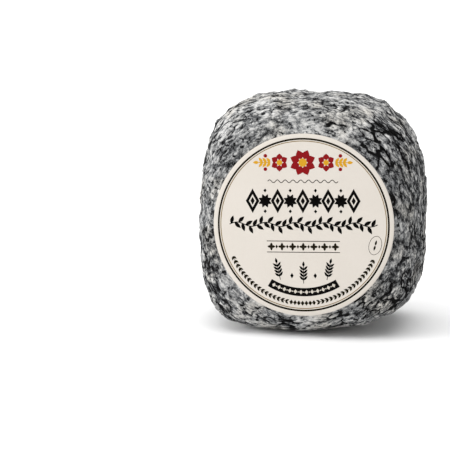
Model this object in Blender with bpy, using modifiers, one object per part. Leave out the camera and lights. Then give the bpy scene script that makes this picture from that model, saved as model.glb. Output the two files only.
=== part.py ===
"""A whole ash-ripened goat's milk robiola, standing on its rounded side, with a round paper label on one face.

Run it in Blender 4.5: blender --background --python part.py
Metres, +Z up. The label faces -Y, and the origin is under the middle of the cheese, on the surface it stands on.
"""

import math

import bmesh
import bpy
from mathutils import Vector, noise

# Size of the cheese: a drum with an almost square outline, lying on its side
CHEESE_WIDTH = 0.0984
CHEESE_HEIGHT = 0.1036
CHEESE_THICKNESS = 0.058

# How square the drum is: 2 is an ellipse, and higher numbers fill the corners
FACE_FLATNESS = 10.0
SIDE_FLATNESS = 2.6
CORNER_TOP_RIGHT = 2.72
CORNER_TOP_LEFT = 3.3
CORNER_LOW_LEFT = 3.8
CORNER_LOW_RIGHT = 5.0

# The underside climbs from the middle towards the right by this slope
UNDERSIDE_CLIMB = 0.18

# The soft cheese has slumped a little, so its labelled face leans back about a line low on that face
FACE_LEAN = math.radians(8)
LEAN_HEIGHT = -0.020

# The paper label, and the shallow dome of cheese that it is pressed onto
LABEL_DIAMETER = 0.079
LABEL_X = -0.0004
LABEL_Z = -0.0010
LABEL_THICKNESS = 0.0004
LABEL_GAP = 0.0003
LABEL_SAG = 0.0010
LABEL_RINGS = 5
LABEL_SIDES = 72
LABEL_BLEND = 0.005

# Relief of the wrinkled rind
UNEVEN_SIZE = 0.030
UNEVEN_HEIGHT = 0.0013
LUMP_SPACING = 0.0085
LUMP_HEIGHT = 0.0026
WANDER_SIZE = 0.0140
WANDER = 0.45

# The soft cheese settles flat on what it stands on
FOOT_DEPTH = 0.0013
FOOT_BLEND = 0.0060

# Edge of one cell of the rind's mesh
CELL = 0.0027

HALF_SIZE = Vector((CHEESE_WIDTH / 2, CHEESE_THICKNESS / 2, CHEESE_HEIGHT / 2))
LABEL_RADIUS = LABEL_DIAMETER / 2
FOOT_LEVEL = -HALF_SIZE.z + FOOT_DEPTH


def clear_scene():
    for old in list(bpy.data.objects):
        bpy.data.objects.remove(old, do_unlink=True)


def new_collection(name):
    collection = bpy.data.collections.new(name)
    bpy.context.scene.collection.children.link(collection)
    return collection


def make_material(name, colour, roughness):
    material = bpy.data.materials.new(name)
    material.use_nodes = True
    shader = material.node_tree.nodes["Principled BSDF"]
    shader.inputs["Base Color"].default_value = (*colour, 1.0)
    shader.inputs["Roughness"].default_value = roughness
    shader.inputs["Metallic"].default_value = 0.0
    material.diffuse_color = (*colour, 1.0)
    return material


def add_object(name, mesh, material, collection):
    part = bpy.data.objects.new(name, mesh)
    part.data.materials.append(material)
    collection.objects.link(part)
    return part


def smooth_step(value):
    value = min(1.0, max(0.0, value))
    return value * value * (3.0 - 2.0 * value)


def corner_power(x, z):
    """Outline power in this direction: each corner of the drum is filled a little differently."""
    right = smooth_step(0.5 + 1.2 * x / math.hypot(x, z)) if x or z else 0.5
    top = smooth_step(0.5 + 1.2 * z / math.hypot(x, z)) if x or z else 0.5
    upper = CORNER_TOP_LEFT + (CORNER_TOP_RIGHT - CORNER_TOP_LEFT) * right
    lower = CORNER_LOW_LEFT + (CORNER_LOW_RIGHT - CORNER_LOW_LEFT) * right
    return lower + (upper - lower) * top


def face_depth(z):
    """Distance from the drum's middle to its leaning front face, at this height."""
    return HALF_SIZE.y - (z - LEAN_HEIGHT) * math.tan(FACE_LEAN)


def half_height(x, z):
    """Distance from the drum's middle up to its top, or down to its underside, which climbs towards the right."""
    climb = UNDERSIDE_CLIMB * max(0.0, x) if z < 0 else 0.0
    return HALF_SIZE.z - climb


def drum_level(point):
    """Below 1 inside the drum, 1 on its surface and above 1 outside."""
    depth = face_depth(point.z) if point.y < 0 else HALF_SIZE.y
    height = half_height(point.x, point.z)
    x, y, z = abs(point.x) / HALF_SIZE.x, abs(point.y) / depth, abs(point.z) / height
    power = corner_power(point.x, point.z)
    radial = (x**power + z**power) ** (1.0 / power)
    return radial**FACE_FLATNESS + y**SIDE_FLATNESS


def onto_drum(point):
    """The point of the drum's surface in the direction of this point, seen from the drum's middle."""
    near, far = 0.2, 2.0
    for _ in range(40):
        middle = (near + far) / 2
        if drum_level(point * middle) < 1.0:
            near = middle
        else:
            far = middle
    return point * near


def label_sag(radius):
    """How far the label's dome falls back from its middle, at this distance from it."""
    return LABEL_SAG * (radius / LABEL_RADIUS) ** 2


def from_label(point):
    """Distance of a point of the front face from the label's centre."""
    return math.hypot(point.x - LABEL_X, (point.z - LABEL_Z) / math.cos(FACE_LEAN))


def clear_of_label(point):
    """0 under the label, rising to 1 on the open rind around it."""
    if point.y > 0:
        return 1.0
    beyond = from_label(point) - LABEL_RADIUS
    return smooth_step(beyond / LABEL_BLEND)


def clear_of_foot(point):
    """0 on the flat that the cheese stands on, rising to 1 up its sides."""
    return smooth_step((point.z - FOOT_LEVEL) / FOOT_BLEND)


def press_under_label(point):
    """The face flattened to the label's dome where the label lies on it."""
    pressed = -face_depth(point.z) + label_sag(from_label(point))
    share = clear_of_label(point)
    return Vector((point.x, pressed + (point.y - pressed) * share, point.z))


def rind_relief(point):
    """Height of the rind over the smooth drum: a broad unevenness, and rounded lumps that meet in creases."""
    uneven = UNEVEN_HEIGHT * noise.noise(point / UNEVEN_SIZE)
    wander = WANDER * noise.noise_vector(point / WANDER_SIZE)
    distances, _ = noise.voronoi(point / LUMP_SPACING + wander)
    return uneven + LUMP_HEIGHT * (0.5 - distances[0])


def gridded_block(size, cell):
    """A box cut into a grid of cells on all six sides."""
    block = bmesh.new()
    bmesh.ops.create_cube(block, size=1.0)
    bmesh.ops.scale(block, vec=size, verts=block.verts)
    for axis in range(3):
        cuts = round(size[axis] / cell) - 1
        along = [e for e in block.edges if abs((e.verts[0].co - e.verts[1].co)[axis]) > cell * 1.5]
        bmesh.ops.subdivide_edges(block, edges=along, cuts=cuts, use_grid_fill=True)
    return block


def build_cheese(material, collection):
    """The cheese: a gridded block drawn in onto the drum, flattened under the label, wrinkled and set on its foot."""
    block = gridded_block(HALF_SIZE * 2, CELL)
    for vert in block.verts:
        vert.co = press_under_label(onto_drum(vert.co))
    block.normal_update()
    normals = [vert.normal.copy() for vert in block.verts]
    for vert, normal in zip(block.verts, normals):
        share = clear_of_label(vert.co) * clear_of_foot(vert.co)
        vert.co += normal * rind_relief(vert.co) * share
        vert.co.z = max(vert.co.z, FOOT_LEVEL)
    mesh = bpy.data.meshes.new("cheese")
    block.to_mesh(mesh)
    block.free()
    mesh.shade_smooth()
    cheese = add_object("cheese", mesh, material, collection)
    facets = cheese.modifiers.new("facets", "TRIANGULATE")
    facets.quad_method = "SHORTEST_DIAGONAL"
    return cheese


def build_label(material, collection):
    """The label: a shallow domed sheet turned round the Y axis, given the paper's thickness, then leaned back."""
    profile = bpy.data.meshes.new("label")
    radii = [LABEL_RADIUS * i / LABEL_RINGS for i in range(LABEL_RINGS + 1)]
    points = [(r, label_sag(r), 0.0) for r in radii]
    profile.from_pydata(points, [(i, i + 1) for i in range(LABEL_RINGS)], [])
    label = add_object("label", profile, material, collection)

    turned = label.modifiers.new("turned", "SCREW")
    turned.axis = "Y"
    turned.angle = math.tau
    turned.steps = LABEL_SIDES
    turned.render_steps = LABEL_SIDES
    turned.use_merge_vertices = True
    turned.merge_threshold = 0.00001
    turned.use_normal_calculate = True
    turned.use_smooth_shade = False

    paper = label.modifiers.new("paper", "SOLIDIFY")
    paper.thickness = LABEL_THICKNESS
    paper.offset = 1.0

    label.rotation_euler.x = -FACE_LEAN
    label.location = (LABEL_X, -face_depth(LABEL_Z) - LABEL_GAP, LABEL_Z)
    return label


def stand_on_floor(parts):
    """Moves the parts so that the whole stands on Z = 0, with its box centred on X and Y."""
    bpy.context.view_layer.update()
    graph = bpy.context.evaluated_depsgraph_get()
    corners = []
    for part in parts:
        shown = part.evaluated_get(graph)
        corners += [shown.matrix_world @ Vector(corner) for corner in shown.bound_box]
    low = Vector([min(c[i] for c in corners) for i in range(3)])
    high = Vector([max(c[i] for c in corners) for i in range(3)])
    shift = Vector((-(low.x + high.x) / 2, -(low.y + high.y) / 2, -low.z))
    for part in parts:
        part.location += shift


def main():
    clear_scene()
    robiola = new_collection("robiola")
    rind = make_material("ash_rind", (0.21, 0.215, 0.23), 0.9)
    paper = make_material("label_paper", (0.80, 0.76, 0.68), 0.6)
    cheese = build_cheese(rind, robiola)
    label = build_label(paper, robiola)
    stand_on_floor([cheese, label])


main()
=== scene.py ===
import math

import bmesh
import bpy
from mathutils import Matrix, Vector, noise


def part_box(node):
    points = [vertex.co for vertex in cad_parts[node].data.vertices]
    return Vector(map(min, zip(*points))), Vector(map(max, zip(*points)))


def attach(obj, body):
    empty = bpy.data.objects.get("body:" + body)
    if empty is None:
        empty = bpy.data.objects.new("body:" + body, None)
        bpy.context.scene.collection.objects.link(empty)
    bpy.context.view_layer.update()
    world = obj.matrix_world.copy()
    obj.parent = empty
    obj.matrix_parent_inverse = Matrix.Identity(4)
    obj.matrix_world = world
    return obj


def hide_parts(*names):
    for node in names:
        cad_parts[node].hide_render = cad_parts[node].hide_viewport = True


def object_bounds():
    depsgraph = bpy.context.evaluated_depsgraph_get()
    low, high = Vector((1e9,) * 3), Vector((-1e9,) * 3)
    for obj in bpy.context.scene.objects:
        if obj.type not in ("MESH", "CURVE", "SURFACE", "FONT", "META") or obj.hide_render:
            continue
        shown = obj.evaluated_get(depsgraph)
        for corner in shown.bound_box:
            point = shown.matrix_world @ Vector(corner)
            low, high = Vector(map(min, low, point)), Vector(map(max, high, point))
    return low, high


# Looks of a whole ash-ripened robiola: wrinkled rind, round paper label, white studio.
# Metres, +Z up, the label faces -Y.

mm = 0.001

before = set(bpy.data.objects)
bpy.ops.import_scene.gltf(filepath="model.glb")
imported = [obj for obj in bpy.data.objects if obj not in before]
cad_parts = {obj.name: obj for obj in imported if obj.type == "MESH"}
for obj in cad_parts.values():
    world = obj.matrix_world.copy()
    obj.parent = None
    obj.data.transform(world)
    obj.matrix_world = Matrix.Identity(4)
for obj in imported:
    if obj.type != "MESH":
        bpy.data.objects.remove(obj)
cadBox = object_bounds()
cheeseLow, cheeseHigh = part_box("cheese")
labelLow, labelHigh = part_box("label")
cheeseMiddle = (cheeseLow + cheeseHigh) / 2
labelMiddle = (labelLow + labelHigh) / 2
labelRadius = (labelHigh.x - labelLow.x) / 2


# the label's own axes, read from its solid: where its front lies, how far it leans and how deep it is domed

labelAxes = {
    "strip": 1.8 * mm, "slice": 1 * mm,  # points are read this near to its middle line, and to its ends
    "turn": 2.2,  # degrees by which it was stuck on turned
}
labelPoints = [vertex.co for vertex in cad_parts["label"].data.vertices]


def frontOfLabel(low, high):
    strip = [p for p in labelPoints if abs(p.x - labelMiddle.x) < labelAxes["strip"]]
    return min((p for p in strip if low <= p.z <= high), key=lambda p: p.y)


labelFront = frontOfLabel(labelMiddle.z - labelAxes["slice"], labelMiddle.z + labelAxes["slice"])
labelFoot = frontOfLabel(labelLow.z, labelLow.z + labelAxes["slice"])
labelHead = frontOfLabel(labelHigh.z - labelAxes["slice"], labelHigh.z)
labelSlope = (labelHead - labelFoot).normalized()
labelOut = Vector((1, 0, 0)).cross(labelSlope)
labelDome = labelOut.dot(labelFront - (labelHead + labelFoot) / 2)
labelTurn = Matrix.Rotation(math.radians(labelAxes["turn"]), 3, labelOut)
labelUp = labelTurn @ labelSlope
labelRight = labelTurn @ Vector((1, 0, 0))
print("label: radius %.1f mm, leans back %.1f degrees, domed %.2f mm" % (
    labelRadius / mm, math.degrees(math.asin(labelSlope.y)), labelDome / mm))


# node trees: the same helpers write shader trees and geometry trees

def addNode(tree, kind, inputs=None, **settings):
    node = tree.nodes.new(kind)
    for name, value in settings.items():
        setattr(node, name, value)
    for key, value in (inputs or {}).items():
        feed(tree, node.inputs[key], value)
    return node


def feed(tree, socket, value):
    if isinstance(value, bpy.types.NodeSocket):
        tree.links.new(value, socket)
    else:
        socket.default_value = value


def calc(tree, operation, first, second=0.0, third=0.0):
    return addNode(tree, "ShaderNodeMath", {0: first, 1: second, 2: third}, operation=operation).outputs[0]


def calcVector(tree, operation, first, second=(0.0, 0.0, 0.0)):
    return addNode(tree, "ShaderNodeVectorMath", {0: first, 1: second}, operation=operation).outputs[0]


def measure(tree, operation, first, second=(0.0, 0.0, 0.0)):
    node = addNode(tree, "ShaderNodeVectorMath", {0: first, 1: second}, operation=operation)
    return node.outputs["Value"]


def stretchVector(tree, vector, factor):
    return addNode(tree, "ShaderNodeVectorMath", {0: vector, "Scale": factor}, operation="SCALE").outputs[0]


def smoothRange(tree, value, low, high, lowOut=0.0, highOut=1.0):
    sockets = {"Value": value, "From Min": low, "From Max": high, "To Min": lowOut, "To Max": highOut}
    return addNode(tree, "ShaderNodeMapRange", sockets, interpolation_type="SMOOTHSTEP").outputs["Result"]


def straightRange(tree, value, low, high, lowOut=0.0, highOut=1.0):
    sockets = {"Value": value, "From Min": low, "From Max": high, "To Min": lowOut, "To Max": highOut}
    return addNode(tree, "ShaderNodeMapRange", sockets, clamp=True).outputs["Result"]


# a place is a vector, or a vector with a fourth number beside it
def noiseNode(tree, place, grain, detail=0.0, roughness=0.5):
    place, fourth = place if isinstance(place, tuple) else (place, None)
    sockets = {"Vector": place, "Scale": 1.0 / grain, "Detail": detail, "Roughness": roughness}
    if fourth:
        sockets["W"] = fourth
    return addNode(tree, "ShaderNodeTexNoise", sockets, noise_dimensions="4D" if fourth else "3D")


def noiseOf(tree, place, grain, **sizes):
    return noiseNode(tree, place, grain, **sizes).outputs[0]


# a mix node has sockets for every kind of value: inputs 6 and 7 and output 2 are for colours
def mixColour(tree, factor, first, second, blend="MIX"):
    node = addNode(tree, "ShaderNodeMix", data_type="RGBA", blend_type=blend)
    feed(tree, node.inputs[0], factor)
    feed(tree, node.inputs[6], first)
    feed(tree, node.inputs[7], second)
    return node.outputs[2]


def newMaterial(name, roughness, shine=0.5):
    material = bpy.data.materials.new(name)
    material.use_nodes = True
    tree = material.node_tree
    shader = tree.nodes["Principled BSDF"]
    shader.inputs["Roughness"].default_value = roughness
    shader.inputs["Specular IOR Level"].default_value = shine
    return material, tree, shader


# pieces

def newPiece(name, mesh, material=None):
    piece = bpy.data.objects.new(name, mesh)
    bpy.context.scene.collection.objects.link(piece)
    if material:
        mesh.materials.append(material)
    return piece


def meshOf(name, shape):
    mesh = bpy.data.meshes.new(name)
    shape.to_mesh(mesh)
    shape.free()
    return mesh


# what the modifier makes becomes the piece's own plain mesh
def settle(piece, modifier):
    bpy.context.view_layer.update()
    made = bpy.data.meshes.new_from_object(piece.evaluated_get(bpy.context.evaluated_depsgraph_get()))
    piece.modifiers.remove(modifier)
    old = piece.data
    piece.data = made
    bpy.data.meshes.remove(old)
    made.name = piece.name


def newGeometryTree(name, sizes):
    tree = bpy.data.node_groups.new(name, "GeometryNodeTree")
    tree.is_modifier = True
    sockets = {}
    tree.interface.new_socket("Geometry", in_out="INPUT", socket_type="NodeSocketGeometry")
    for size, value in sizes.items():
        kind = {int: "NodeSocketInt", float: "NodeSocketFloat"}.get(type(value), "NodeSocketObject")
        socket = tree.interface.new_socket(size, in_out="INPUT", socket_type=kind)
        socket.default_value = value
        sockets[size] = socket.identifier
    tree.interface.new_socket("Geometry", in_out="OUTPUT", socket_type="NodeSocketGeometry")
    given = tree.nodes.new("NodeGroupInput").outputs
    return tree, given, sockets


def closeGeometryTree(tree, geometry, material):
    whole = addNode(tree, "GeometryNodeRealizeInstances", {"Geometry": geometry}).outputs[0]
    dressed = addNode(tree, "GeometryNodeSetMaterial", {"Geometry": whole, "Material": material}).outputs[0]
    feed(tree, tree.nodes.new("NodeGroupOutput").inputs[0], dressed)


def applyGeometryTree(piece, tree, sockets, sizes):
    modifier = piece.modifiers.new(tree.name, "NODES")
    modifier.node_group = tree
    for size, value in sizes.items():
        modifier[sockets[size]] = value
    settle(piece, modifier)


# the rind's wrinkles, as one pattern that the mesh and the material both read

wrinkles = {
    "roller": 20 * mm, "faceReach": 42 * mm, "wallReach": 50 * mm, "faceShare": 0.4,
    "wander": 6.0 * mm, "wanderBy": 2.2 * mm, "jag": 1.3 * mm, "jagBy": 0.7 * mm,
    "fold": 4.0 * mm, "foldRoughness": 0.4, "foldWidth": 0.34, "foldHeight": 0.6 * mm, "foldMiddle": 0.6,
    "crest": 2.6 * mm, "crestWidth": 0.20, "crestHeight": 0.26 * mm, "crestShift": (0.66, 0.52, 0.36),
    "crinkle": 1.3 * mm, "crinkleWidth": 0.26, "crinkleHeight": 0.14 * mm, "crinkleShift": (0.37, 0.11, 0.23),
    "sink": 0.72 * mm,
}

# where the rind is rough, its deepest folds crack open into sunk hollows, broken up along their length,
# painted black with ash and painted shade
hollows = {
    "rough": 15 * mm, "roughShift": (0.7, 0.2, 0.4), "roughFrom": 0.56, "roughTo": 0.72, "roughMost": 0.7,
    "broken": 4.2 * mm, "brokenShift": (0.44, 0.81, 0.12),
    "brokenFrom": 0.42, "brokenTo": 0.56, "brokenLeast": 0.25,
    "width": 0.055, "widen": 0.085, "core": 0.35, "depth": 0.5 * mm,
    # they gather in a few places: middle, reach and strength of each
    "places": (
        ((36 * mm, -18 * mm, 86 * mm), 17 * mm, 1.0),
        ((42 * mm, -22 * mm, 62 * mm), 10 * mm, 0.5),
        ((40 * mm, -22 * mm, 22 * mm), 12 * mm, 0.9),
        ((-38 * mm, -23 * mm, 15 * mm), 10 * mm, 0.9),
        ((3 * mm, -28 * mm, 4 * mm), 26 * mm, 0.6),
    ),
}


# 0 in the middle of a noise, rising to 1 at both ends of its range
def fromMiddle(tree, value):
    return calc(tree, "ABSOLUTE", calc(tree, "MULTIPLY_ADD", value, 2.0, -1.0))


# the full strength in the core of the place's reach, fading to nothing at its end
def nearTo(tree, place, middle, reach, strength, core=0.35):
    away = measure(tree, "DISTANCE", place, middle)
    return smoothRange(tree, away, core * reach, reach, strength, 0.0)


def roughPlaces(tree, place):
    h = hollows
    broad = noiseOf(tree, calcVector(tree, "ADD", place, h["roughShift"]), h["rough"], detail=1.0)
    rough = smoothRange(tree, broad, h["roughFrom"], h["roughTo"], 0.0, h["roughMost"])
    for spot in h["places"]:
        rough = calc(tree, "MAXIMUM", rough, nearTo(tree, place, *spot))
    return rough


# wrinkles run long around the drum: its wall is wound onto a narrower roller,
# whose round end meets the middles of the faces

def fromAxis(tree, place):
    apart = calcVector(tree, "SUBTRACT", place, tuple(cheeseMiddle))
    across = calcVector(tree, "MULTIPLY", apart, (1.0, 0.0, 1.0))
    return apart, across, measure(tree, "LENGTH", across)


def roundTheDrum(tree, apart, across, reach):
    roller = wrinkles["roller"]
    bend = calc(tree, "MINIMUM", calc(tree, "DIVIDE", reach, roller), math.pi / 2)
    radius = calc(tree, "MULTIPLY", calc(tree, "SINE", bend), roller)
    over = calc(tree, "SUBTRACT", calc(tree, "SUBTRACT", 1.0, calc(tree, "COSINE", bend)), bend)
    down = calc(tree, "MULTIPLY_ADD", over, roller, reach)
    wound = stretchVector(tree, calcVector(tree, "NORMALIZE", across), radius)
    depth = calcVector(tree, "MULTIPLY", apart, (0.0, 1.0, 0.0))
    return calcVector(tree, "ADD", wound, depth), down


def shiftedBy(tree, place, shift):
    return calcVector(tree, "ADD", place[0], shift), place[1]


def strayBy(tree, place, grain, reach):
    drift = noiseNode(tree, place, grain, detail=1.0).outputs["Color"]
    stray = calcVector(tree, "SUBTRACT", drift, (0.5, 0.5, 0.5))
    return shiftedBy(tree, place, stretchVector(tree, stray, reach))


def finerWrinkle(tree, strayed, kind, lowOut=0.0, highOut=1.0):
    value = noiseOf(tree, shiftedBy(tree, strayed, wrinkles[kind + "Shift"]), wrinkles[kind], detail=1.0)
    return smoothRange(tree, fromMiddle(tree, value), 0.0, wrinkles[kind + "Width"], lowOut, highOut)


def brokenUp(tree, strayed, rough):
    h = hollows
    broken = noiseOf(tree, shiftedBy(tree, strayed, h["brokenShift"]), h["broken"], detail=1.0)
    share = smoothRange(tree, broken, h["brokenFrom"], h["brokenTo"], h["brokenLeast"], 1.0)
    return calc(tree, "MULTIPLY", rough, share)


def crackedOpen(tree, foldAway, rough):
    reach = calc(tree, "MULTIPLY_ADD", rough, hollows["widen"], hollows["width"])
    return smoothRange(tree, calc(tree, "DIVIDE", foldAway, reach), hollows["core"], 1.0, 1.0, 0.0)


def wrinklePattern(tree, place):
    w = wrinkles
    apart, across, reach = fromAxis(tree, place)
    wound = roundTheDrum(tree, apart, across, reach)
    strayed = strayBy(tree, strayBy(tree, wound, w["wander"], w["wanderBy"]), w["jag"], w["jagBy"])
    wall = smoothRange(tree, reach, w["faceReach"], w["wallReach"])
    rough = roughPlaces(tree, place)
    folding = straightRange(tree, calc(tree, "MAXIMUM", rough, wall), 0.0, 1.0, w["faceShare"], 1.0)
    foldNoise = noiseOf(tree, strayed, w["fold"], detail=1.0, roughness=w["foldRoughness"])
    foldAway = fromMiddle(tree, foldNoise)
    fold = smoothRange(tree, foldAway, 0.0, w["foldWidth"])
    relief = calc(tree, "MULTIPLY", calc(tree, "SUBTRACT", fold, w["foldMiddle"]), folding)
    rough = brokenUp(tree, strayed, rough)
    crack = crackedOpen(tree, foldAway, rough)
    deep = calc(tree, "MULTIPLY", crack, rough)
    crest = calc(tree, "MULTIPLY", finerWrinkle(tree, strayed, "crest", 1.0, 0.0), folding)
    height = calc(tree, "MULTIPLY", calc(tree, "ADD", relief, w["foldMiddle"]), w["foldHeight"])
    height = calc(tree, "MULTIPLY_ADD", crest, w["crestHeight"], height)
    height = calc(tree, "MULTIPLY_ADD", deep, -hollows["depth"], height)
    return {
        "wound": wound, "wall": wall, "height": height, "relief": relief,
        "crack": calc(tree, "MULTIPLY", crack, folding), "deep": deep,
        "crinkle": finerWrinkle(tree, strayed, "crinkle"), "crest": crest}


# the rind itself: the cheese's solid made fine, sunk a little and raised again by its wrinkles

rind = {
    "joinWithin": 0.01 * mm, "joinAngle": 50, "smoothLevels": 2,
    "labelBlend": 1.6 * mm, "blendFrom": -0.2, "underLabel": 0.38 * mm,
    "behindFrom": -12 * mm, "behindTo": -6 * mm,
    "footFrom": 0.3 * mm, "footTo": 5.0 * mm,
}


def cheeseCage():
    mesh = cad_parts["cheese"].data.copy()
    mesh.name = "rindCage"
    shape = bmesh.new()
    shape.from_mesh(mesh)
    bmesh.ops.remove_doubles(shape, verts=shape.verts, dist=rind["joinWithin"])
    angle = math.radians(rind["joinAngle"])
    bmesh.ops.join_triangles(
        shape, faces=shape.faces, angle_face_threshold=angle, angle_shape_threshold=angle)
    print("rind cage:", len(shape.faces), "faces")
    shape.to_mesh(mesh)
    shape.free()
    mesh.materials.clear()
    for layer in list(mesh.attributes):
        if layer.name.startswith("UVMap") or layer.name == "custom_normal":
            mesh.attributes.remove(layer)
    return newPiece("rind", mesh)


# 0 under the label and 1 on the open rind, and on all that lies well behind the label
def openShare(tree, place, given):
    out = tuple(labelOut)
    apart = calcVector(tree, "SUBTRACT", place, tuple(labelFront))
    ahead = measure(tree, "DOT_PRODUCT", apart, out)
    reach = measure(tree, "LENGTH", calcVector(tree, "SUBTRACT", apart, stretchVector(tree, out, ahead)))
    beyond = calc(tree, "DIVIDE", calc(tree, "SUBTRACT", reach, given["Label radius"]), given["Label blend"])
    behind = smoothRange(tree, ahead, rind["behindFrom"], rind["behindTo"], 1.0, 0.0)
    return calc(tree, "MAXIMUM", smoothRange(tree, beyond, rind["blendFrom"], 1.0), behind)


def rindLift(tree, place, given):
    height = wrinklePattern(tree, place)["height"]
    openRind = openShare(tree, place, given)
    backed = calc(tree, "MULTIPLY", calc(tree, "SUBTRACT", 1.0, openRind), given["Under label"])
    rise = addNode(tree, "ShaderNodeSeparateXYZ", {0: place}).outputs[2]
    footFree = smoothRange(tree, rise, given["Foot from"], given["Foot to"])
    free = calc(tree, "MULTIPLY", openRind, footFree)
    return calc(tree, "MULTIPLY_ADD", calc(tree, "SUBTRACT", height, given["Sink"]), free, backed)


def buildRind(material):
    piece = cheeseCage()
    sizes = {
        "Smooth levels": rind["smoothLevels"], "Label radius": labelRadius, "Label blend": rind["labelBlend"],
        "Foot from": rind["footFrom"], "Foot to": rind["footTo"], "Sink": wrinkles["sink"],
        "Under label": rind["underLabel"],
    }
    tree, given, sockets = newGeometryTree("rindWrinkles", sizes)
    cage = {"Mesh": given["Geometry"], "Level": given["Smooth levels"]}
    smooth = addNode(tree, "GeometryNodeSubdivisionSurface", cage).outputs[0]
    place = tree.nodes.new("GeometryNodeInputPosition").outputs[0]
    # the smooth surface's own places stay with it, for the finish to read
    kept = {"Geometry": smooth, "Name": "calm", "Value": place}
    calm = addNode(tree, "GeometryNodeStoreNamedAttribute", kept, data_type="FLOAT_VECTOR", domain="POINT")
    normal = tree.nodes.new("GeometryNodeInputNormal").outputs[0]
    offset = stretchVector(tree, normal, rindLift(tree, place, given))
    moved = addNode(tree, "GeometryNodeSetPosition", {"Geometry": calm.outputs[0], "Offset": offset})
    closeGeometryTree(tree, moved.outputs[0], material)
    applyGeometryTree(piece, tree, sockets, sizes)
    print("rind:", len(piece.data.polygons), "faces")
    return piece


def stayInBox(piece, low, high):
    for vertex in piece.data.vertices:
        vertex.co = [min(max(vertex.co[i], low[i]), high[i]) for i in range(3)]


# the rind's finish: black ash and painted shade in the folds, grey and white mould on what stands up

rindTones = {
    # from black ash and painted shade through slate, grey and pale mould to white bloom
    "ramp": (
        (0.05, (0.004, 0.004, 0.004, 1)), (0.26, (0.036, 0.0375, 0.040, 1)), (0.52, (0.212, 0.215, 0.217, 1)),
        (0.74, (0.435, 0.432, 0.424, 1)), (0.95, (0.565, 0.559, 0.546, 1)),
    ),
    "base": 0.515,
    "cloud": 16 * mm, "cloudShare": 0.6,
    "mottle": 3.4 * mm, "streak": 2.6 * mm, "mottleShift": (0.17, 0.53, 0.31), "mottleShare": 1.3,
    "grain": 0.8 * mm, "grainShare": 1.05, "fineGrain": 0.4 * mm, "fineShare": 0.6,
    "fleck": 2.1 * mm, "fleckFrom": 0.60, "fleckTo": 0.66, "fleckShift": (0.9, 0.4, 0.2), "fleckShare": 0.42,
    "fleckMiddle": 0.03, "patch": 9 * mm, "patchFrom": 0.45, "patchTo": 0.6, "patchShift": (0.3, 0.8, 0.6),
    "stain": 13 * mm, "stainFrom": 0.45, "stainTo": 0.7, "stainShift": (0.5, 0.1, 0.9),
    "stainTint": (1.0, 0.97, 0.92, 1),
    # the relief, crack, deep and hairline shares darken the folds with ash and painted shade
    "reliefShare": 0.22, "crackShadeShare": 0.20, "crackMiddle": 0.15, "deepShadeShare": 0.75,
    "crestShare": 0.20, "crestMiddle": 0.2, "hairlineShadeShare": 0.32, "hairlineFrom": 0.65, "faceHairline": 0.4,
    "heightBump": 0.8, "grainBump": 0.25 * mm, "fineBump": 0.08 * mm,
    "roughness": 0.85, "shine": 0.07,
    # painted shade and painted light by place: darker on the right side and at the lower corners, lighter on
    # top and at the upper left, a little lighter at the bottom front; middle, reach and change of tone of
    # each
    "places": (
        ((54 * mm, 8 * mm, 50 * mm), 46 * mm, -0.155),
        ((36 * mm, -26 * mm, 14 * mm), 26 * mm, -0.085),
        ((0.0, -28 * mm, 2 * mm), 34 * mm, 0.04),
        ((38 * mm, -22 * mm, 80 * mm), 24 * mm, -0.1),
        ((10 * mm, -14 * mm, 103 * mm), 36 * mm, 0.04),
        ((-34 * mm, -20 * mm, 90 * mm), 26 * mm, 0.015),
        ((-44 * mm, -24 * mm, 16 * mm), 30 * mm, -0.085),
        ((43 * mm, -20 * mm, 44 * mm), 24 * mm, -0.04),
        ((41 * mm, -21 * mm, 23 * mm), 12 * mm, -0.15),
        ((-38 * mm, -23 * mm, 15 * mm), 8 * mm, -0.12),
    ),
}


def spotsOf(tree, place, kind, detail=0.0):
    t = rindTones
    value = noiseOf(tree, calcVector(tree, "ADD", place, t[kind + "Shift"]), t[kind], detail=detail)
    return smoothRange(tree, value, t[kind + "From"], t[kind + "To"])


# round blotches on the faces, streaks along the wall
def mottleOf(tree, place, pattern):
    t = rindTones
    onFace = calcVector(tree, "ADD", place, t["mottleShift"])
    onWall = shiftedBy(tree, pattern["wound"], t["mottleShift"])
    blotch = noiseOf(tree, onFace, t["mottle"], detail=3.0, roughness=0.55)
    streak = noiseOf(tree, onWall, t["streak"], detail=3.0, roughness=0.55)
    return straightRange(tree, pattern["wall"], 0.0, 1.0, blotch, streak)


def toneOf(tree, place, pattern, grain, fine):
    t = rindTones
    hairline = calc(tree, "SUBTRACT", t["hairlineFrom"], pattern["crinkle"])
    strength = straightRange(tree, pattern["wall"], 0.0, 1.0, t["faceHairline"], 1.0)
    hairline = calc(tree, "MULTIPLY", hairline, strength)
    cloud = noiseOf(tree, place, t["cloud"], detail=2.0, roughness=0.55)
    fleck = calc(tree, "MULTIPLY", spotsOf(tree, place, "fleck", detail=1.0), spotsOf(tree, place, "patch"))
    tone = t["base"]
    # each pattern, its middle and its share of the tone: relief, cracks, deep hollows and hairlines darken
    # the folds with ash and painted shade
    for value, middle, share in (
            (pattern["relief"], 0.0, t["reliefShare"]), (cloud, 0.5, t["cloudShare"]),
            (mottleOf(tree, place, pattern), 0.5, t["mottleShare"]),
            (grain, 0.5, t["grainShare"]), (fine, 0.5, t["fineShare"]),
            (pattern["crack"], t["crackMiddle"], -t["crackShadeShare"]), (pattern["deep"], 0.0, -t["deepShadeShare"]),
            (hairline, 0.0, -t["hairlineShadeShare"]), (pattern["crest"], t["crestMiddle"], t["crestShare"]),
            (fleck, t["fleckMiddle"], -t["fleckShare"])):
        tone = calc(tree, "MULTIPLY_ADD", calc(tree, "SUBTRACT", value, middle), share, tone)
    # painted shade and painted light by place
    for spot in t["places"]:
        tone = calc(tree, "ADD", tone, nearTo(tree, place, *spot))
    return tone


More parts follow.
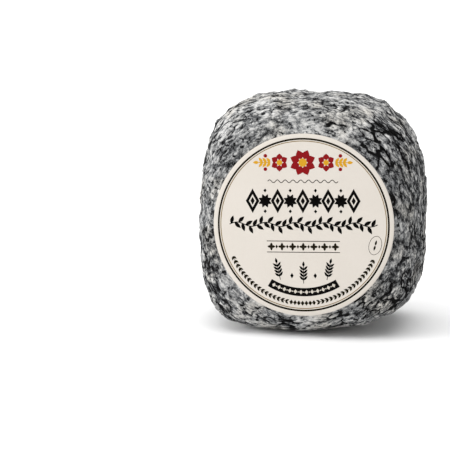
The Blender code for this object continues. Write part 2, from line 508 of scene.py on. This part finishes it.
def rampOf(tree, tone, stops):
    ramp = addNode(tree, "ShaderNodeValToRGB", {"Fac": tone})
    elements = ramp.color_ramp.elements
    elements[0].position, elements[0].color = stops[0]
    elements[1].position, elements[1].color = stops[-1]
    for position, tint in stops[1:-1]:
        elements.new(position).color = tint
    return ramp.outputs["Color"]


def rindMaterial():
    t = rindTones
    material, tree, shader = newMaterial("ashRind", t["roughness"], t["shine"])
    place = addNode(tree, "ShaderNodeAttribute", attribute_name="calm").outputs["Vector"]
    pattern = wrinklePattern(tree, place)
    grain = noiseOf(tree, pattern["wound"], t["grain"], detail=2.0, roughness=0.6)
    fine = noiseOf(tree, place, t["fineGrain"], detail=1.0)
    colour = rampOf(tree, toneOf(tree, place, pattern, grain, fine), t["ramp"])
    stain = spotsOf(tree, place, "stain", detail=2.0)
    feed(tree, shader.inputs["Base Color"], mixColour(tree, stain, colour, t["stainTint"], "MULTIPLY"))
    bumps = calc(tree, "MULTIPLY", pattern["height"], t["heightBump"])
    bumps = calc(tree, "MULTIPLY_ADD", grain, t["grainBump"], bumps)
    bumps = calc(tree, "MULTIPLY_ADD", pattern["crinkle"], wrinkles["crinkleHeight"], bumps)
    bumps = calc(tree, "MULTIPLY_ADD", fine, t["fineBump"], bumps)
    bump = addNode(tree, "ShaderNodeBump", {"Height": bumps, "Strength": 1.0, "Distance": 1.0})
    feed(tree, shader.inputs["Normal"], bump.outputs[0])
    return material


# the label: a sheet of cream paper on the rind, with a generic print of ornaments in six inks

label = {
    "thickness": 0.25 * mm, "rings": 26, "sides": 192, "sharpAngle": 40,
    "cornerRound": 0.07 * mm, "cornerCut": 0.3,
    "wave": 0.10 * mm, "waveSize": 19 * mm,
    "inkLift": 0.012 * mm, "inkDepth": 0.010 * mm,
    "inkJoin": 0.0005,  # in millimetres, as the flat print is drawn
}


def onLabel(u, v, lift):
    share = math.hypot(u, v) / labelRadius
    wave = label["wave"] * share ** 2 * noise.noise(Vector((u, v, 0)) / label["waveSize"])
    return labelFront + labelRight * u + labelUp * v + labelOut * (lift + wave - labelDome * share ** 2)


# how far out and how deep the sheet's outline goes, from the front's middle round the edge to the back's
def paperOutline():
    edge, thick = label["cornerRound"], label["thickness"]
    cut = edge * label["cornerCut"]
    radii = [labelRadius * i / label["rings"] for i in range(1, label["rings"])]
    front = [(r, 0.0) for r in radii] + [(labelRadius - edge, 0.0), (labelRadius - cut, -cut)]
    side = [(labelRadius, -edge), (labelRadius, -thick + edge)]
    back = [(labelRadius - edge, -thick)] + [(r, -thick) for r in reversed(radii)]
    return front + side + back


def buildPaper(material):
    sides = label["sides"]
    angles = [math.tau * i / sides for i in range(sides)]
    shape = bmesh.new()
    loops = []
    for r, lift in paperOutline():
        loops.append([shape.verts.new(onLabel(r * math.cos(a), r * math.sin(a), lift)) for a in angles])
    front, back = shape.verts.new(onLabel(0, 0, 0)), shape.verts.new(onLabel(0, 0, -label["thickness"]))
    for i in range(sides):
        j = (i + 1) % sides
        for inner, outer in zip(loops, loops[1:]):
            shape.faces.new((inner[i], outer[i], outer[j], inner[j]))
        shape.faces.new((front, loops[0][i], loops[0][j]))
        shape.faces.new((back, loops[-1][j], loops[-1][i]))
    bmesh.ops.recalc_face_normals(shape, faces=shape.faces)
    mesh = meshOf("labelPaper", shape)
    mesh.shade_smooth()
    mesh.set_sharp_from_angle(angle=math.radians(label["sharpAngle"]))
    print("labelPaper:", len(mesh.polygons), "faces")
    return newPiece("labelPaper", mesh, material)


# flat shapes for the print, in millimetres on the label's plane, before they are laid on the paper

def addOutline(shape, points):
    shape.faces.new([shape.verts.new((u, v, 0)) for u, v in points])


def addBand(shape, inner, outer, start, end, steps):
    angles = [math.radians(start + (end - start) * i / steps) for i in range(steps + 1)]
    rows = [[shape.verts.new((r * math.cos(a), r * math.sin(a), 0)) for a in angles] for r in (inner, outer)]
    for i in range(steps):
        shape.faces.new((rows[0][i], rows[1][i], rows[1][i + 1], rows[0][i + 1]))


def addDisc(shape, u, v, radius, sides=20):
    angles = [math.tau * i / sides for i in range(sides)]
    addOutline(shape, [(u + radius * math.cos(a), v + radius * math.sin(a)) for a in angles])


def turned(points, turn, u, v):
    cos, sin = math.cos(math.radians(turn)), math.sin(math.radians(turn))
    return [(u + x * cos - y * sin, v + x * sin + y * cos) for x, y in points]


# a leaf is widest a little nearer its foot than its tip
def addLeaf(shape, u, v, turn, length, width, sides=7, fullness=0.85):
    along = [i / sides for i in range(sides + 1)]
    upper = [(length * s, width / 2 * math.sin(math.pi * s ** fullness)) for s in along]
    lower = [(x, -y) for x, y in reversed(upper[1:-1])]
    addOutline(shape, turned(upper + lower, turn, u, v))


def addLozenge(shape, u, v, halfWide, halfHigh, hole=0.0):
    corners = [(1, 0), (0, 1), (-1, 0), (0, -1)]
    if not hole:
        addOutline(shape, [(u + halfWide * x, v + halfHigh * y) for x, y in corners])
        return
    outer = [shape.verts.new((u + halfWide * x, v + halfHigh * y, 0)) for x, y in corners]
    inner = [shape.verts.new((u + halfWide * hole * x, v + halfHigh * hole * y, 0)) for x, y in corners]
    for i in range(4):
        j = (i + 1) % 4
        shape.faces.new((outer[i], outer[j], inner[j], inner[i]))


def addStroke(shape, points, width):
    sides = []
    for i, point in enumerate(points):
        before, after = Vector(points[max(i - 1, 0)]), Vector(points[min(i + 1, len(points) - 1)])
        across = (after - before).normalized().orthogonal() * width / 2
        sides.append([shape.verts.new((*(Vector(point) + across * side), 0)) for side in (1, -1)])
    for one, two in zip(sides, sides[1:]):
        shape.faces.new((one[0], one[1], two[1], two[0]))


def arcPath(radius, start, end, steps=60):
    angles = [math.radians(start + (end - start) * i / steps) for i in range(steps + 1)]
    return [(radius * math.cos(a), radius * math.sin(a)) for a in angles]


def wavePath(half, middle, swing=0.0, waves=1, steps=120):
    shares = [i / steps for i in range(steps + 1)]
    return [(-half + 2 * half * s, middle + swing * math.sin(math.tau * waves * s)) for s in shares]


# one geometry tree lays a motif along any path, for every row and border of the print

rowSizes = {"Motif": None, "Count": 10, "Size": 1.0, "Start": 0.0, "End": 1.0}


def rowTree(material):
    tree, given, sockets = newGeometryTree("motifsAlongPath", rowSizes)
    curve = addNode(tree, "GeometryNodeMeshToCurve", {"Mesh": given["Geometry"]}).outputs[0]
    trimmed = addNode(tree, "GeometryNodeTrimCurve", mode="FACTOR")
    for socket, value in (("Curve", curve), ("Start", given["Start"]), ("End", given["End"])):
        feed(tree, trimmed.inputs[socket], value)
    spots = addNode(tree, "GeometryNodeCurveToPoints", {"Curve": trimmed.outputs[0], "Count": given["Count"]})
    tangent = {"Vector": spots.outputs["Tangent"]}
    along = addNode(tree, "FunctionNodeAlignRotationToVector", tangent, axis="X", pivot_axis="Z")
    motif = addNode(tree, "GeometryNodeObjectInfo", {"Object": given["Motif"], "As Instance": True})
    scale = addNode(tree, "ShaderNodeCombineXYZ", {0: given["Size"], 1: given["Size"], 2: 1.0})
    row = addNode(tree, "GeometryNodeInstanceOnPoints", {
        "Points": spots.outputs["Points"], "Instance": motif.outputs["Geometry"],
        "Rotation": along.outputs[0], "Scale": scale.outputs[0]})
    closeGeometryTree(tree, row.outputs[0], material)
    return tree, sockets


def addRow(shape, path, motif, **sizes):
    outline = bpy.data.meshes.new("path")
    outline.from_pydata([(u, v, 0) for u, v in path], [(i, i + 1) for i in range(len(path) - 1)], [])
    stamp = bmesh.new()
    motif(stamp)
    stampPiece = newPiece("motif", meshOf("motif", stamp))
    row = newPiece("row", outline)
    applyGeometryTree(row, *printTree, {**rowSizes, **sizes, "Motif": stampPiece})
    shape.from_mesh(row.data)
    for thing in (row, stampPiece):
        old = thing.data
        bpy.data.objects.remove(thing)
        bpy.data.meshes.remove(old)


# a level row of motifs, with another motif in each gap between them
def addPairedRow(shape, half, middle, motif, between, count):
    inner = half * (count - 2) / (count - 1)
    addRow(shape, [(-half, middle), (half, middle)], motif, Count=count)
    addRow(shape, [(-inner, middle), (inner, middle)], between, Count=count - 1)


def leafMotif(turn, length, width):
    return lambda stamp: addLeaf(stamp, 0, 0, turn, length, width)


def lozengeMotif(halfWide, halfHigh):
    return lambda stamp: addLozenge(stamp, 0, 0, halfWide, halfHigh)


# pairs of leaves on a stem, past its bare points, and one at its tip
def addLeafyStem(shape, stem, bare, heading, sizes):
    addStroke(shape, stem, sizes["line"])
    for point in stem[bare:-1]:
        for side in (1, -1):
            addLeaf(shape, *point, heading + side * sizes["leafTurn"], *sizes["leaf"])
    addLeaf(shape, *stem[-1], heading, *sizes["tip"])


# the ornaments, in millimetres across or up from the label's middle, and in degrees:
# leaves by length and width, lozenges and the oval by half their width and height, rings by radius and width

rings = {"dark": (37.25, 0.8), "fine": (36.3, 0.36), "steps": 192}


def addRing(shape, radius, width):
    addBand(shape, radius - width / 2, radius + width / 2, 0, 360, rings["steps"])


frieze = {
    "half": 22.1, "middle": 10.4, "count": 5,
    "lozenge": (3.0, 5.3), "hole": 0.54, "core": (0.95, 1.7),
    "starLeaves": 8, "starLeaf": (3.15, 1.6), "dot": (0.72, 0.85), "dotUp": 4.5,
}


def openLozengeMotif(stamp):
    addLozenge(stamp, 0, 0, *frieze["lozenge"], hole=frieze["hole"])
    addLozenge(stamp, 0, 0, *frieze["core"])


def starMotif(stamp):
    for i in range(frieze["starLeaves"]):
        addLeaf(stamp, 0, 0, 360 * (i + 0.5) / frieze["starLeaves"], *frieze["starLeaf"])
    for side in (1, -1):
        addLozenge(stamp, 0, side * frieze["dotUp"], *frieze["dot"])


def drawFrieze(shape):
    addPairedRow(shape, frieze["half"], frieze["middle"], openLozengeMotif, starMotif, frieze["count"])


vine = {
    "half": 32.4, "middle": 0.2, "swing": 0.9, "waves": 5, "line": 0.42,
    "leaf": (3.7, 1.65), "leafTurn": 52,
    # count of leaves on each side, and the shares of the stem that they start and end at
    "upper": (20, 0.01, 0.96), "lower": (19, 0.035, 0.935),
}


def drawVine(shape):
    stem = wavePath(vine["half"], vine["middle"], vine["swing"], vine["waves"])
    addStroke(shape, stem, vine["line"])
    for turn, leaves in ((vine["leafTurn"], vine["upper"]), (-vine["leafTurn"], vine["lower"])):
        count, start, end = leaves
        addRow(shape, stem, leafMotif(turn, *vine["leaf"]), Count=count, Start=start, End=end)


ribbon = {
    "inner": 27.4, "outer": 31.0, "half": 30.6, "steps": 48,
    "lozenge": (0.8, 0.95), "lozenges": 12, "lozengeInset": 4.0,
    "dot": 0.28, "dotSides": 12, "dotInset": 6.4,
}


def ribbonArc(inset):
    reach = ribbon["half"] - inset
    return arcPath((ribbon["inner"] + ribbon["outer"]) / 2, -90 - reach, -90 + reach)


def drawRibbon(shape):
    half = ribbon["half"]
    addBand(shape, ribbon["inner"], ribbon["outer"], -90 - half, -90 + half, ribbon["steps"])


def dotMotif(stamp):
    addDisc(stamp, 0, 0, ribbon["dot"], ribbon["dotSides"])


sprigs = {
    "foot": -25.4, "high": 7.2, "apart": 10.2, "outerRise": 1.6, "lean": 12, "points": 5,
    "line": 0.3, "leaf": (2.6, 1.0), "leafTurn": 44, "tip": (2.5, 1.1),
    "lozenge": (0.75, 1.2), "lozengeRise": 3.4,
}


def drawSprigs(shape):
    count = sprigs["points"]
    for step in (-1, 0, 1):
        u, v = step * sprigs["apart"], sprigs["foot"] + sprigs["outerRise"] * abs(step)
        heading = 90 - sprigs["lean"] * step
        stem = turned([(sprigs["high"] * i / count, 0.0) for i in range(count + 1)], heading, u, v)
        addLeafyStem(shape, stem, 1, heading, sprigs)
    aside, rise = sprigs["apart"] / 2, sprigs["foot"] + sprigs["lozengeRise"]
    for side in (1, -1):
        addLozenge(shape, side * aside, rise, *sprigs["lozenge"])


band = {
    "half": 16.0, "middle": -9.4, "lineUp": 2.4, "line": 0.32, "lineSteps": 24,
    "rowHalf": 14.0, "flowers": 7, "petals": 4, "petal": (1.75, 1.15), "lozenge": (0.55, 0.85),
}


def smallFlowerMotif(stamp):
    for i in range(band["petals"]):
        addLeaf(stamp, 0, 0, 360 * i / band["petals"], *band["petal"])


def drawBand(shape):
    middle = band["middle"]
    lozenge = lozengeMotif(*band["lozenge"])
    addPairedRow(shape, band["rowHalf"], middle, smallFlowerMotif, lozenge, band["flowers"])
    for side in (1, -1):
        line = wavePath(band["half"], middle + side * band["lineUp"], steps=band["lineSteps"])
        addStroke(shape, line, band["line"])


waveLine = {"half": 15.4, "middle": 18.9, "swing": 0.6, "waves": 9, "line": 0.34}


def drawWaveLine(shape):
    path = wavePath(waveLine["half"], waveLine["middle"], waveLine["swing"], waveLine["waves"])
    addStroke(shape, path, waveLine["line"])


border = {
    "radius": 34.0, "start": -156.0, "end": -26.0, "line": 0.22, "lineSteps": 30,
    "leaves": 17, "leaf": (1.9, 0.9), "leafTurn": 32, "leafShare": 0.4,
    "lozenge": (0.85, 1.1), "lozenges": 7, "lozengeShares": (0.435, 0.565),
}


# two leafy stems that point at each other, with a few lozenges between
def drawBorder(shape):
    b = border
    arc = arcPath(b["radius"], b["start"], b["end"])
    span = b["end"] - b["start"]
    left = (0.0, b["leafShare"], b["leafTurn"])
    right = (1.0 - b["leafShare"], 1.0, 180 - b["leafTurn"])
    for start, end, turn in (left, right):
        for side in (1, -1):
            leaf = leafMotif(side * turn, *b["leaf"])
            addRow(shape, arc, leaf, Count=b["leaves"], Start=start, End=end)
        stem = arcPath(b["radius"], b["start"] + span * start, b["start"] + span * end, b["lineSteps"])
        addStroke(shape, stem, b["line"])
    start, end = b["lozengeShares"]
    addRow(shape, arc, lozengeMotif(*b["lozenge"]), Count=b["lozenges"], Start=start, End=end)


oval = {
    "place": (31.3, -8.7), "size": (2.7, 4.1), "turn": -15.5, "steps": 40,
    "line": 0.2, "leaf": (2.4, 0.9),
}


def drawOval(shape):
    across, up = oval["size"]
    angles = [math.tau * i / oval["steps"] for i in range(oval["steps"] + 1)]
    outline = [(across * math.cos(a), up * math.sin(a)) for a in angles]
    addStroke(shape, turned(outline, oval["turn"], *oval["place"]), oval["line"])
    for side in (1, -1):
        addLeaf(shape, *oval["place"], oval["turn"] + 90 * side, *oval["leaf"])


rosettes = {
    "middle": 27.0, "apart": 10.2,
    # count of petals, how far out they start, their length and width, and the heart's radius
    "large": (8, 1.6, 4.2, 3.4), "largeHeart": 1.8, "small": (6, 1.1, 2.8, 2.7), "smallHeart": 1.2,
    "dotAside": 16.4, "dotUp": 2.9, "dot": 0.8,
}

twigs = {
    "from": 14.2, "step": 1.7, "points": 4,
    "line": 0.45, "leaf": (2.7, 1.25), "leafTurn": 50, "tip": (2.6, 1.4),
}


def rosette(shape, u, petals, inner, length, width):
    for i in range(petals):
        turn = math.tau * (i + 0.5) / petals
        place = (u + inner * math.cos(turn), rosettes["middle"] + inner * math.sin(turn))
        addLeaf(shape, *place, math.degrees(turn), length, width)


def drawTwigs(shape):
    for side, heading in ((1, 0), (-1, 180)):
        reaches = [twigs["from"] + i * twigs["step"] for i in range(twigs["points"])]
        addLeafyStem(shape, [(side * reach, rosettes["middle"]) for reach in reaches], 0, heading, twigs)


# what each ink prints

def blackPrint(shape):
    drawFrieze(shape)
    drawVine(shape)
    drawRibbon(shape)
    drawSprigs(shape)


def greyPrint(shape):
    addRing(shape, *rings["dark"])
    drawBand(shape)
    drawWaveLine(shape)
    drawBorder(shape)
    drawOval(shape)


def tanPrint(shape):
    addRing(shape, *rings["fine"])


def redPrint(shape):
    rosette(shape, 0, *rosettes["large"])
    for side in (1, -1):
        rosette(shape, side * rosettes["apart"], *rosettes["small"])
        for v in (rosettes["dotUp"], -rosettes["dotUp"]):
            addDisc(shape, side * rosettes["dotAside"], rosettes["middle"] + v, rosettes["dot"])


def ochrePrint(shape):
    addDisc(shape, 0, rosettes["middle"], rosettes["largeHeart"])
    for side in (1, -1):
        addDisc(shape, side * rosettes["apart"], rosettes["middle"], rosettes["smallHeart"])
    drawTwigs(shape)


def creamPrint(shape):
    count = ribbon["lozenges"]
    addRow(shape, ribbonArc(ribbon["lozengeInset"]), lozengeMotif(*ribbon["lozenge"]), Count=count)
    addRow(shape, ribbonArc(ribbon["dotInset"]), dotMotif, Count=count - 1)


# colour of each ink, what it prints, and how many lifts it lies above the paper
inks = {
    "inkBlack": ((0.0015, 0.0012, 0.0010), blackPrint, 1.0),
    "inkGrey": ((0.012, 0.009, 0.0045), greyPrint, 1.0),
    "inkTan": ((0.20, 0.14, 0.06), tanPrint, 1.0),
    "inkRed": ((0.20, 0.007, 0.009), redPrint, 1.3),
    "inkOchre": ((0.52, 0.27, 0.018), ochrePrint, 1.6),
    "inkCream": ((0.52, 0.48, 0.42), creamPrint, 2.0),
}


# the flat print is laid on the paper and given its depth
def layInk(name, shape, material, lifts):
    bmesh.ops.remove_doubles(shape, verts=shape.verts, dist=label["inkJoin"])
    for face in shape.faces:
        if face.normal.z < 0:
            face.normal_flip()
    for vert in shape.verts:
        vert.co = onLabel(vert.co.x * mm, vert.co.y * mm, label["inkLift"] * lifts)
    shape.normal_update()
    piece = newPiece(name, meshOf(name, shape), material)
    body = piece.modifiers.new("body", "SOLIDIFY")
    body.thickness = label["inkDepth"]
    body.offset = -1.0
    settle(piece, body)
    print(name + ":", len(piece.data.polygons), "faces")
    return piece


paper = {
    "roughness": 0.62, "shine": 0.25, "dark": (0.556, 0.512, 0.456, 1), "light": (0.635, 0.591, 0.539, 1),
    "cloud": 16 * mm, "fibre": 0.35 * mm, "fibreBump": 0.03 * mm,
}

ink = {"roughness": 0.5, "shine": 0.02, "cover": 0.5 * mm, "thinShare": 1.08, "thinLift": 0.0015}


def paperMaterial():
    material, tree, shader = newMaterial("creamPaper", paper["roughness"], paper["shine"])
    place = tree.nodes.new("ShaderNodeTexCoord").outputs["Object"]
    cloud = noiseOf(tree, place, paper["cloud"], detail=3.0)
    fibre = noiseOf(tree, place, paper["fibre"], detail=3.0, roughness=0.6)
    tone = calc(tree, "MULTIPLY_ADD", cloud, 0.5, calc(tree, "MULTIPLY", fibre, 0.5))
    feed(tree, shader.inputs["Base Color"], mixColour(tree, tone, paper["dark"], paper["light"]))
    height = calc(tree, "MULTIPLY", fibre, paper["fibreBump"])
    bump = addNode(tree, "ShaderNodeBump", {"Height": height, "Distance": 1.0})
    feed(tree, shader.inputs["Normal"], bump.outputs[0])
    return material


def inkMaterial(name, colour):
    material, tree, shader = newMaterial(name, ink["roughness"], ink["shine"])
    place = tree.nodes.new("ShaderNodeTexCoord").outputs["Object"]
    cover = noiseOf(tree, place, ink["cover"], detail=2.0)
    thin = tuple(ink["thinShare"] * c + ink["thinLift"] for c in colour)
    feed(tree, shader.inputs["Base Color"], mixColour(tree, cover, (*colour, 1), (*thin, 1)))
    return material


# studio: white floor, soft light from above and from the left,
# and the camera where the photograph was taken

studio = {
    "floorSize": 8.0, "floorTone": 0.85, "floorRoughness": 0.9, "worldTone": 0.65,
    "keyPower": 130, "keySize": 5.0, "keyPlace": (-0.2, 0.1, 3.4),
    "fillPower": 64, "fillSize": 1.6, "fillPlace": (-2.6, -0.9, 1.0),
}

view = {
    "azimuth": 9.5, "elevation": 13.0, "distance": 1.32, "lens": 240.0, "sensor": 36.0, "clipEnd": 50.0,
    "photoSide": 450, "middlePixel": (312.7, 208.8), "pixelSize": 0.44 * mm,
    "bodyMiddle": (0.0, 0.0, 50.6 * mm),
}


def placeCamera():
    azimuth, elevation = math.radians(view["azimuth"]), math.radians(view["elevation"])
    flat = math.cos(elevation)
    back = Vector((math.sin(azimuth) * flat, -math.cos(azimuth) * flat, math.sin(elevation)))
    right = Vector((math.cos(azimuth), math.sin(azimuth), 0.0))
    up = back.cross(right)
    half = view["photoSide"] / 2
    aside = (view["middlePixel"][0] - half) * view["pixelSize"]
    above = (half - view["middlePixel"][1]) * view["pixelSize"]
    middle = Vector(view["bodyMiddle"])
    data = bpy.data.cameras.new("camera")
    data.sensor_width = view["sensor"]
    data.lens = view["lens"]
    data.clip_end = view["clipEnd"]
    camera = bpy.data.objects.new("camera", data)
    bpy.context.scene.collection.objects.link(camera)
    camera.location = middle + back * view["distance"]
    aim = middle - right * aside - up * above
    camera.rotation_mode = "QUATERNION"
    camera.rotation_quaternion = (aim - camera.location).to_track_quat("-Z", "Y")
    bpy.context.scene.camera = camera


def softLight(name, place, power, size):
    data = bpy.data.lights.new(name, "AREA")
    data.shape = "DISK"
    data.energy = power
    data.size = size
    lamp = bpy.data.objects.new(name, data)
    bpy.context.scene.collection.objects.link(lamp)
    lamp.location = place
    lamp.rotation_mode = "QUATERNION"
    lamp.rotation_quaternion = (cheeseMiddle - Vector(place)).to_track_quat("-Z", "Y")


def buildFloor():
    half = studio["floorSize"] / 2
    corners = [(-half, -half, 0), (half, -half, 0), (half, half, 0), (-half, half, 0)]
    mesh = bpy.data.meshes.new("floor")
    mesh.from_pydata(corners, [], [(0, 1, 2, 3)])
    material, tree, shader = newMaterial("whiteFloor", studio["floorRoughness"])
    shader.inputs["Base Color"].default_value = (studio["floorTone"],) * 3 + (1,)
    return newPiece("floor", mesh, material)


def lightStudio():
    world = bpy.data.worlds.new("studio")
    world.use_nodes = True
    sky = world.node_tree.nodes["Background"]
    sky.inputs["Color"].default_value = (1, 1, 1, 1)
    sky.inputs["Strength"].default_value = studio["worldTone"]
    bpy.context.scene.world = world
    softLight("key", studio["keyPlace"], studio["keyPower"], studio["keySize"])
    softLight("fill", studio["fillPlace"], studio["fillPower"], studio["fillSize"])
    bpy.context.scene.view_settings.view_transform = "Standard"
    print("studio: floor, sky and two lights")


placeCamera()
buildFloor()
lightStudio()

rindPiece = buildRind(rindMaterial())
stayInBox(rindPiece, cadBox[0], cadBox[1])
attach(rindPiece, "root")
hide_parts("cheese")

inkMaterials = {name: inkMaterial(name, inks[name][0]) for name in inks}
printTree = rowTree(inkMaterials["inkBlack"])
paperPiece = buildPaper(paperMaterial())
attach(paperPiece, "root")
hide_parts("label")
for inkName, (colour, draw, lifts) in inks.items():
    drawing = bmesh.new()
    draw(drawing)
    inkPiece = layInk(inkName, drawing, inkMaterials[inkName], lifts)
    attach(inkPiece, "root")
